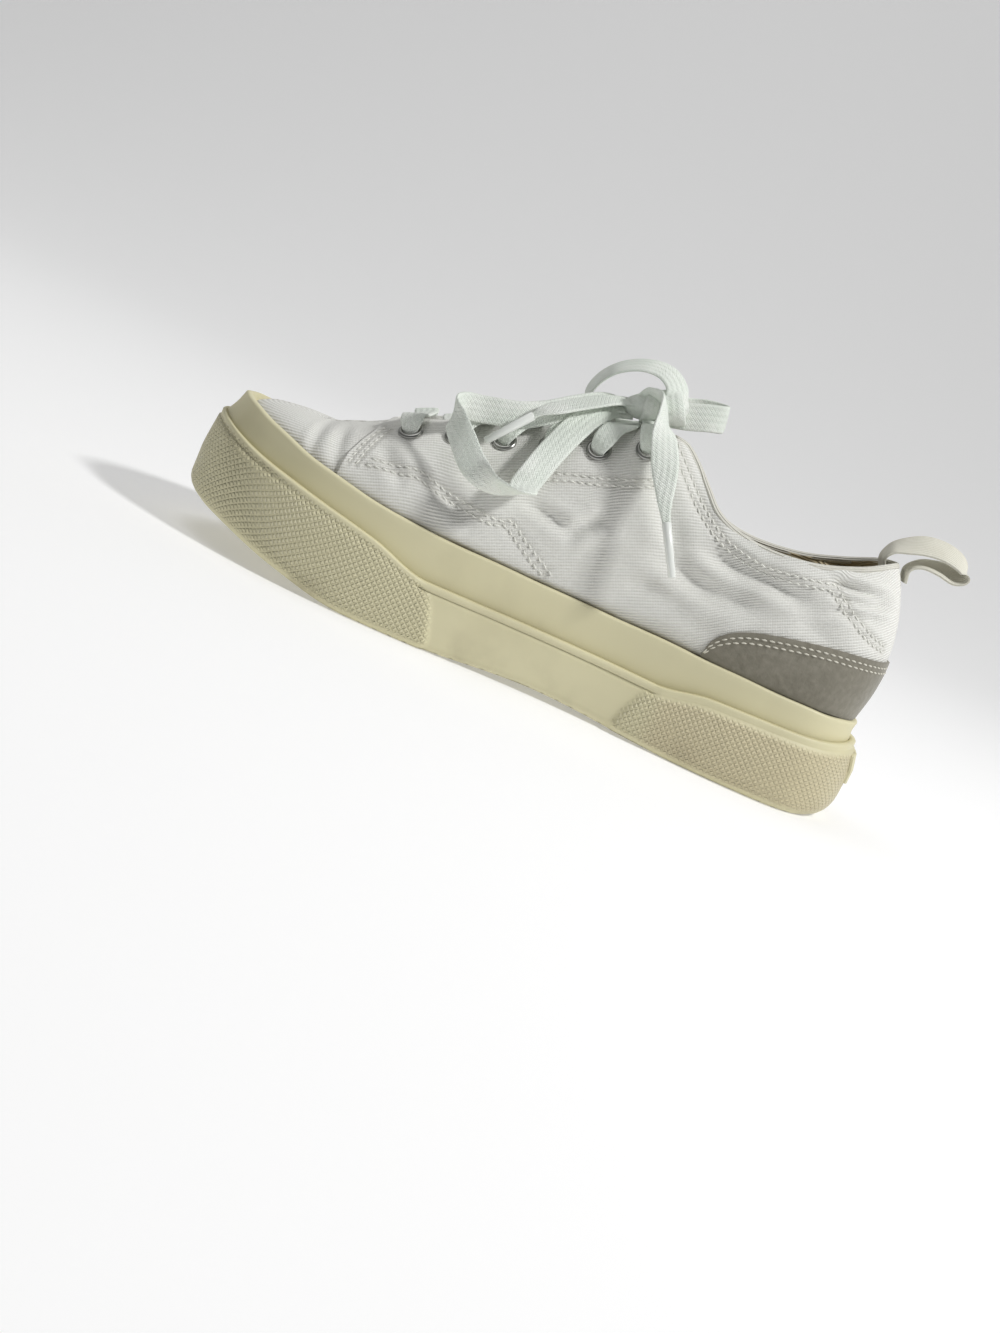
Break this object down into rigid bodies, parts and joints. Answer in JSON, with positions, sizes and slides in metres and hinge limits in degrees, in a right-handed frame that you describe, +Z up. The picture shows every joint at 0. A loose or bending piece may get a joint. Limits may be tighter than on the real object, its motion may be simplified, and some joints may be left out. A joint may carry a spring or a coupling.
{
  "type": "canvas sneaker",
  "caption": "Low canvas lace-up sneaker for the right foot on a thick rubber sole, with a suede heel counter, metal eyelets, a flat lace tied in a bow and a heel pull loop.",
  "frame": {"origin": "middle of the solid pieces in plan, at floor level, without the knot, the bow and the ends of the lace", "axes": "+X towards the toe, +Y towards the inner side of the foot, +Z up from the floor"},
  "size_m": [0.2868, 0.1024, 0.131],
  "materials": {
    "rubber": "pale cream rubber, satin, lightly soiled",
    "canvas": "off-white ribbed cotton canvas",
    "suede": "grey-taupe suede",
    "lining": "beige cloth",
    "webbing": "cream ribbed webbing",
    "eyelets": "nickel plated",
    "lace": "flat woven white lace",
    "lace_tips": "clear white film"
  },
  "bodies": {
    "root": {"outsole": "rubber", "foxing": "rubber", "insole": "lining", "upper": "canvas", "tongue": "canvas", "heel_counter": "suede", "heel_label": "rubber", "pull_loop": "webbing", "eyelet_inner_1": "eyelets", "eyelet_inner_2": "eyelets", "eyelet_inner_3": "eyelets", "eyelet_inner_4": "eyelets", "eyelet_inner_5": "eyelets", "eyelet_inner_6": "eyelets", "eyelet_outer_1": "eyelets", "eyelet_outer_2": "eyelets", "eyelet_outer_3": "eyelets", "eyelet_outer_4": "eyelets", "eyelet_outer_5": "eyelets", "eyelet_outer_6": "eyelets", "lace_bar": "lace", "lace_crossing_1": "lace", "lace_crossing_2": "lace", "lace_crossing_3": "lace", "lace_crossing_4": "lace", "lace_crossing_5": "lace", "lace_top_inner": "lace", "lace_top_outer": "lace", "lace_knot": "lace", "loop_near": "lace", "loop_top": "lace", "loop_back": "lace", "end_front": "lace", "end_hanging": "lace", "aglet_front": "lace_tips", "aglet_hanging": "lace_tips"}
  },
  "joints": []
}
